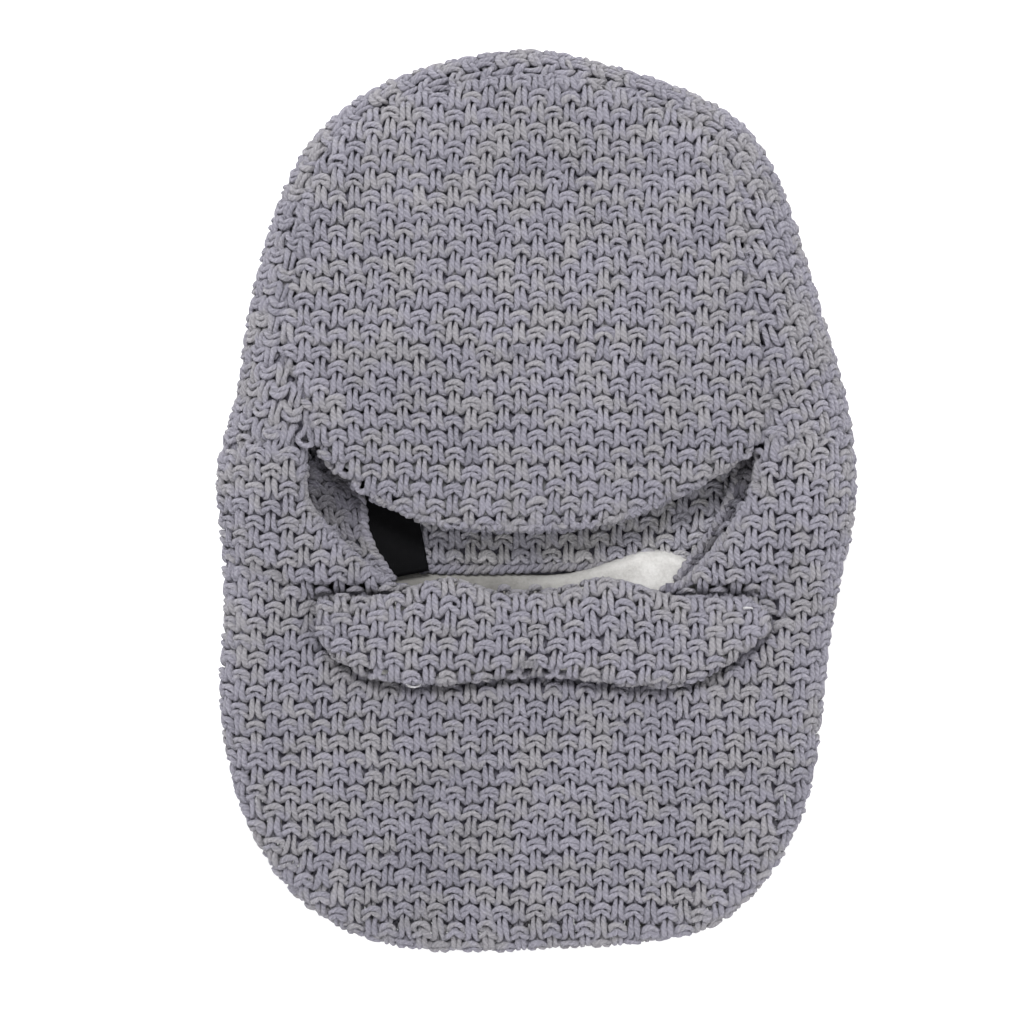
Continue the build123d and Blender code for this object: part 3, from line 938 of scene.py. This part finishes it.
def make_bib():
    def below_crease(u, v):
        cheek = np.abs(u) > 56
        return np.where(cheek, v <= crease_y(u), v <= FLAP_FOLD_Y + 2)

    def keep(u, v, points):
        return below_crease(u, v) & (HOOD.nearest(u, v)[0] < 8)

    def keep_ground(u, v, points):
        edge = np.where(v < -98, -9.0, 12.0)
        low = (v < FLAP_FOLD_Y - 4) | (np.abs(u) > 92)
        return low & below_crease(u, v - 2) & (HOOD.nearest(u, v)[0] < edge)

    across, up = (-150, 150), (-204, -12)
    yarn = knit("bib_knit", [stitches(front_surface, across, up, keep)])
    place(yarn, "hood", KNIT_GREY, "grey_knit", "front_bib")
    backing("bib_ground", "hood", front_surface, across, up, 2.5, keep_ground)


def make_back():
    def keep(u, v, points):
        return HOOD.nearest(u, v)[0] < 4.0

    def keep_ground(u, v, points):
        return HOOD.nearest(u, v)[0] < np.where(v < -98, -9.0, 3.0)

    across, up = (-140, 140), (-200, 200)
    parts = [stitches(back_surface, across, up, keep, facing=-1, samples=BACK_SAMPLES)]
    yarn = knit("back_knit", parts, sides=BACK_SIDES)
    place(yarn, "hood", KNIT_GREY, "grey_knit", "back_panel")
    backing("back_ground", "hood", back_surface, across, up, 3.0, keep_ground, facing=-1)


def make_linings():
    def keep_hem(u, v, points):
        return (np.abs(u) < 100) & (v < 62)

    def keep_ground(u, v, points):
        return HOOD.nearest(u, v)[0] < -13

    hem_y = box_mm("head_lining")[0][1]
    yarn = knit("head_lining_knit", [stitches(lining_surface, (-100, 100), (hem_y - 4, 60), keep_hem)])
    place(yarn, "hood", PAINTED_LIGHT_LINING_GREY, "grey_knit", "head_lining")
    backing("head_lining_ground", "hood", lining_surface, (-112, 112), (hem_y, 150), 3.0, keep_ground)


def plush(u, v, size):
    """The lumps of a soft plush surface."""
    lumps = np.sin(u / 3.1 + np.sin(v / 4.3)) * np.sin(v / 2.7 + 1.3 * np.sin(u / 5.9))
    folds = np.sin(u / 13.0 + 0.8 * np.sin(v / 21.0))
    return size * (0.35 * lumps + 0.65 * folds)


def make_neck_linings():
    back_top = box_mm("neck_lining_back")[1][2]
    front_low = box_mm("neck_lining_front")[0][2]

    def top_edge(u):
        """How high the plush comes up the inside, which is uneven from side to side."""
        return -28.5 + 8.5 * np.exp(-((u - 48) / 20) ** 2) - 2.0 * np.exp(-((u - 5) / 14) ** 2)

    def back(u, v):
        edge = top_edge(u)
        t = np.clip((v - (edge - 5)) / 5.0, 0, 1.4)
        lift = (2.0 + 5.0 * smooth(u, -25, 40)) * smooth(v, -62, -40)
        z = back_top + lift + plush(u, v, 0.7) - 3.5 * t ** 2
        y = np.where(t > 0, edge - 5 + 5.0 * np.sin(np.minimum(t, 1.4)) / 0.985, v)
        return np.stack([u, y, z], axis=-1)

    def keep_back(u, v, points):
        d, _, _ = HOOD.nearest(u, v)
        return (d < -9) & (v < top_edge(u) + 2)

    fleece = sheet_mesh("neck_fleece_back", back, (-122, 122), (-176, -16), 1.6, keep_back, 0, 2.2)
    place(fleece, "hood", BACK_FLEECE, "white_fleece", "neck_lining_back")

    def front(u, v):
        z = front_low + 1.0 + (front_height(u, v) - BIB_TOP) + plush(u, v, 0.5)
        return np.stack([u, v, z], axis=-1)

    def keep_front(u, v, points):
        d, _, _ = HOOD.nearest(u, v)
        return (d < -9) & (v < -40)

    lining = sheet_mesh("neck_fleece_front", front, (-122, 122), (-176, -40), 1.8, keep_front, 0, 2.0)
    place(lining, "hood", FLEECE, "white_fleece", "neck_lining_front")


def make_flap():
    def keep(u, v, points):
        return FLAP.nearest(u, v)[0] < 3.5

    def keep_backing(u, v, points):
        return (FLAP.nearest(u, v)[0] < -1.0) & (v < FLAP_FOLD_Y - 5)

    parts = [stitches(flap_surface, (-100, 104), (-84, -26), keep, wale=7.1, course=6.2)]
    yarn = knit("flap_knit", parts)
    place(yarn, None, KNIT_GREY, "grey_knit", "mouth_flap_knit")
    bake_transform(yarn)
    backing("flap_ground", "mouth_flap", flap_surface, (-100, 104), (-80, -34), 2.0, keep_backing)
    low = box_mm("mouth_flap_backing")[0][2]

    def underside(u, v):
        return np.stack([u, v, low + 0.7 + plush(u, v, 0.5)], axis=-1)

    fleece = sheet_mesh("flap_fleece", underside, (-96, 100), (-78, -36), 1.6, keep_backing, 0, -1.6,
                        facing=-1)
    place(fleece, "mouth_flap", FLEECE, "white_fleece", "mouth_flap_backing")


LABEL_ROWS = 36
LABEL_THICK = 0.5


def make_label():
    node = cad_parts["label"]
    points = np.array([v.co for v in node.data.vertices]) / MM
    centre = points.mean(axis=0)
    flat = points[:, :2]
    lowest = flat[flat[:, 1].argmin()]
    rightmost = flat[flat[:, 0].argmax()]
    across, up = rightmost - lowest, flat[flat[:, 0].argmin()] - lowest

    def surface(a, b):
        p = lowest + a[..., None] * across + b[..., None] * up
        wave = centre[2] + 0.9 + 0.45 * np.sin(b * 5.0 + a * 2.0) + 0.8 * (a - 0.5) ** 2
        return np.concatenate([p, wave[..., None]], axis=-1)

    u, v = np.meshgrid(np.linspace(0, 1, LABEL_ROWS), np.linspace(0, 1, LABEL_ROWS))
    outer = surface(u, v)
    cells = np.ones((LABEL_ROWS - 1, LABEL_ROWS - 1), bool)
    thing = closed_sheet("label_tape", outer, outer - (0, 0, LABEL_THICK), cells)
    place(thing, "hood", LABEL, "black_label", "label")


def seam_line(node, step=6.0):
    """The middle of a seam thread's CAD node, as points along it."""
    points = np.array([v.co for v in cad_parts[node].data.vertices]) / MM
    axis = 0 if np.ptp(points[:, 0]) > np.ptp(points[:, 1]) else 1
    marks = np.arange(points[:, axis].min(), points[:, axis].max() + step, step)
    found = []
    for low in marks:
        near = points[np.abs(points[:, axis] - low) < step * 0.7]
        if len(near):
            found.append(near[:, :2].mean(axis=0))
    return np.array(found)


def make_threads():
    """The joining yarn, which dips in and out along each seam."""
    for node in ("left_seam_thread", "top_seam_thread", "right_seam_thread"):
        line = seam_line(node)
        steps = np.linalg.norm(np.diff(line, axis=0), axis=1)
        marks = np.concatenate([[0], np.cumsum(steps)])
        s = np.linspace(0, marks[-1], int(marks[-1] / 0.8))
        x, y = np.interp(s, marks, line[:, 0]), np.interp(s, marks, line[:, 1])
        z = crown_surface(x, y)[..., 2] - 0.6 + 0.9 * np.sin(s / 5.5 * 2 * math.pi)
        path = np.stack([x, y, z], axis=-1)[None]
        thread = tube_mesh(node + "_yarn", path, np.full(path.shape[:2], 0.6), 8, np.zeros(1))
        place(thread, "hood", SEAM_GREY, "seam_yarn", node)


def tack(name, node, body, count=4):
    """A bar tack: a few turns of yarn laid side by side, with a cross stitch over their ends."""
    low, high = box_mm(node)
    middle = (low + high) / 2
    half = (high[0] - low[0]) / 2
    t = np.linspace(0, math.pi, 22)
    paths = []
    for k in range(count):
        lift = 1.5 * np.sin(t) ** 0.6
        y = middle[1] + (k - (count - 1) / 2) * 0.62 + 0.15 * np.sin(t * 3 + k)
        paths.append(np.stack([middle[0] - half * np.cos(t), y, low[2] - 1.6 + lift], axis=-1))
    for end in (-0.75, 0.75):
        y = middle[1] - 1.9 * np.cos(t)
        x = middle[0] + end * half + 0.2 * np.sin(t * 2)
        paths.append(np.stack([x, y, low[2] - 1.6 + 2.0 * np.sin(t) ** 0.6], axis=-1))
    paths = np.array(paths)
    thing = tube_mesh(name, paths, np.full(paths.shape[:2], 0.42), 8, np.zeros(len(paths)))
    place(thing, body, SEAM_GREY, "seam_yarn", node)


def binding(name, line, radius=1.2, pitch=7.0):
    """A finished edge: two strands of yarn twisted round each other along a line."""
    steps = np.linalg.norm(np.diff(line, axis=0), axis=1)
    marks = np.concatenate([[0], np.cumsum(steps)])
    s = np.linspace(0, marks[-1], int(marks[-1] / 0.9))
    middle = np.stack([np.interp(s, marks, line[:, k]) for k in range(3)], axis=-1)
    along = np.gradient(middle, axis=0)
    along /= np.linalg.norm(along, axis=1, keepdims=True)
    side = np.cross(along, (0, 0, 1.0))
    side /= np.linalg.norm(side, axis=1, keepdims=True)
    rise = np.cross(side, along)
    paths = []
    for phase in (0, math.pi):
        angle = 2 * math.pi * s / pitch + phase
        offset = side * np.cos(angle)[:, None] + rise * np.sin(angle)[:, None]
        paths.append(middle + offset * radius * 0.85)
    paths = np.array(paths)
    thing = tube_mesh(name, paths, np.full(paths.shape[:2], radius), 8, np.array([0.0, 0.4]))
    place(thing, "hood", KNIT_GREY, "grey_knit")


def make_bindings():
    for side, name in ((-1, "left"), (1, "right")):
        ys, xs = edge_line(f"{name}_cheek_facing", side)
        xs = np.convolve(np.pad(xs, 2, mode="edge"), np.ones(5) / 5, mode="valid")
        keep = ys > FLAP_FOLD_Y + 4
        ys, xs = ys[keep], xs[keep]
        z = 14.5 + 2.0 * smooth(-ys, 10, 34) + 0 * xs
        line = np.stack([xs - side * 0.5, ys, z], axis=-1)
        binding(f"{name}_facing_edge", line, radius=1.25)
        edge_y, edge_x = LEFT_CHEEK if side < 0 else RIGHT_CHEEK
        keep = (edge_y > FLAP_FOLD_Y + 1) & (edge_y < 15)
        x, y = edge_x[keep] - side * 2.2, edge_y[keep]
        binding(f"{name}_cheek_edge", front_surface(x, y))
    xs = np.linspace(-88, 88, 60)
    hem_y, hem_z = box_mm("head_lining")[0][1], box_mm("head_lining")[1][2]
    line = np.stack([xs, hem_y + 0.8 + 0.8 * np.sin(xs / 17), 0 * xs + hem_z - 2.6], axis=-1)
    binding("head_lining_edge", line)
    for name, height in (("bib_hem_edge", edge_bottom(-170.0) + 1.0), ("back_hem_edge", FOLD_Z - 5.2)):
        start, end = HOOD.along(-120, -118), HOOD.along(112, -118)
        s = np.linspace(start, end if end > start else end + HOOD.length[-1], 160)
        point, normal = HOOD.at(s)
        line = np.concatenate([point - normal * 1.0, np.full((len(s), 1), height)], axis=1)
        binding(name, line)


def make_loose_stitches():
    """The two light ends of sewing yarn that show on the mouth flap: a loop below it, a stitch on it."""
    low, high = box_mm("mouth_flap_knit")
    t = np.linspace(0, math.pi, 26)
    x = low[0] + 0.22 * (high[0] - low[0]) - 3.2 * np.cos(t)
    loop = np.stack([x, low[1] + 2.6 - 3.6 * np.sin(t) ** 0.7, low[2] - 0.6 + 1.6 * np.sin(t)], axis=-1)
    x = low[0] + 0.955 * (high[0] - low[0]) - 1.6 * np.cos(t)
    stitch = np.stack([x, high[1] - 6.5 + 0.3 * np.sin(t), high[2] - 2.0 + 1.6 * np.sin(t)], axis=-1)
    for name, path in (("flap_yarn_loop", loop), ("flap_end_stitch", stitch)):
        thing = tube_mesh(name, path[None], np.full((1, len(t)), 0.45), 8, np.zeros(1))
        place(thing, "mouth_flap", LOOSE_YARN, "seam_yarn")


STAGE_PROFILE = [(0, 0), (1.6, 0), (2.0, 0.05), (2.3, 0.2), (2.5, 0.45), (2.6, 0.8), (2.6, 3.2)]
STAGE_TURNS = 64
STAGE_DROP = 0.0015         # the back's lowest stitches stand a little under the CAD's base


def make_stage():
    """A pale floor that curves up into a wall all round, so that no horizon shows."""
    turns = STAGE_TURNS
    points, faces = [], []
    for radius, height in STAGE_PROFILE:
        for k in range(turns):
            angle = 2 * math.pi * k / turns
            points.append((radius * math.cos(angle), radius * math.sin(angle), height))
    for ring in range(len(STAGE_PROFILE) - 1):
        for k in range(turns):
            a, b = ring * turns + k, ring * turns + (k + 1) % turns
            faces.append((a + turns, b + turns, b, a) if ring else (a + turns, b + turns, 0))
    floor = bpy.data.meshes.new("floor")
    floor.from_pydata(points, [], faces)
    floor.polygons.foreach_set("use_smooth", np.ones(len(floor.polygons), bool))
    thing = added("floor", floor)
    thing.location.z = -STAGE_DROP
    look = Look("pale_floor")
    settings = {"Base Color": (0.93, 0.93, 0.93, 1), "Roughness": 0.9,
                "Emission Color": (1, 1, 1, 1), "Emission Strength": 0.28}
    for key, value in settings.items():
        look.shader.inputs[key].default_value = value
    floor.materials.append(look.material)


def make_light(name, place, size, power):
    data = bpy.data.lights.new(name, "AREA")
    data.shape = "DISK"
    data.size = size
    data.energy = power
    thing = added(name, data)
    thing.location = place
    thing.rotation_euler = (-Vector(place)).to_track_quat("-Z", "Y").to_euler()


VIEW_WIDTH = 0.4142         # metres across the picture, at the height the camera aims at
VIEW_AIM = Vector((-0.0099, -0.0052, 0.015))
LENS = 90


def make_camera_and_lights():
    """A camera looking straight down, a key light beyond the crown and a broad fill by the hem."""
    data = bpy.data.cameras.new("camera")
    data.lens = LENS
    camera = added("camera", data)
    camera.location = VIEW_AIM + Vector((0, 0, VIEW_WIDTH * LENS / data.sensor_width))
    scene = bpy.context.scene
    scene.camera = camera
    make_light("key", (-0.1, 0.85, 1.45), 0.5, 23)
    make_light("fill", (0.3, -0.7, 1.7), 1.4, 7)
    world = bpy.data.worlds.new("studio")
    world.use_nodes = True
    background = world.node_tree.nodes["Background"]
    background.inputs["Color"].default_value = (1, 1, 1, 1)
    background.inputs["Strength"].default_value = 0.55
    scene.world = world
    scene.view_settings.view_transform = "Standard"


make_crown()
make_peak()
make_sides()
make_bib()
make_back()
make_linings()
make_neck_linings()
make_flap()
make_label()
make_threads()
make_bindings()
make_loose_stitches()
tack("crown_tack_yarn", "crown_tack_stitch", "hood")
tack("flap_tack_yarn", "mouth_flap_bar_tack", "mouth_flap")
make_stage()
make_camera_and_lights()
